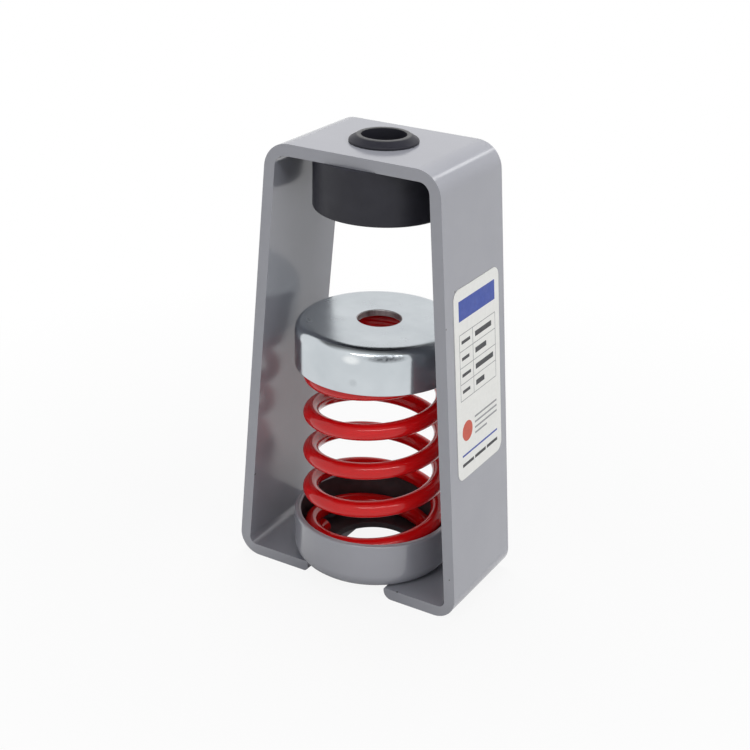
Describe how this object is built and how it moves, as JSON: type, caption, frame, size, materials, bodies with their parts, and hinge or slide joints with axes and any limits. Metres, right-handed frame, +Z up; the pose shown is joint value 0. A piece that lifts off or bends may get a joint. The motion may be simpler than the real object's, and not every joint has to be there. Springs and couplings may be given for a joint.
{
  "type": "spring vibration isolator",
  "caption": "Hanging spring vibration isolator: folded steel strap frame, rubber bush in the top plate, and a coil spring in a cup that carries a sliding cap for the lower rod.",
  "frame": {"origin": "on the resting surface, on the common axis of the bush, the cap, the spring and the cup", "axes": "+Z up along the rods' axis, +X across the frame towards the leg with the label, -Y out of the open front"},
  "size_m": [0.0768, 0.05, 0.1382],
  "materials": {
    "grey_paint": "semi-gloss bluish grey paint on bent steel strap",
    "red_paint": "gloss red paint on spring wire",
    "zinc_plate": "bright zinc plating on pressed steel",
    "black_rubber": "satin moulded rubber",
    "white_film": "white printed film"
  },
  "bodies": {
    "frame": {"bracket": "grey_paint", "base_cup": "grey_paint", "coil_spring": "red_paint", "rubber_bush": "black_rubber", "label": "white_film"},
    "cap": {"spring_cap": "zinc_plate"}
  },
  "joints": [
    {"name": "cap_travel", "type": "slide", "parent": "frame", "child": "cap", "axis": [0, 0, -1], "range_m": [0, 0.036], "stiffness_N_per_m": 20000, "deforming": ["coil_spring"]}
  ]
}
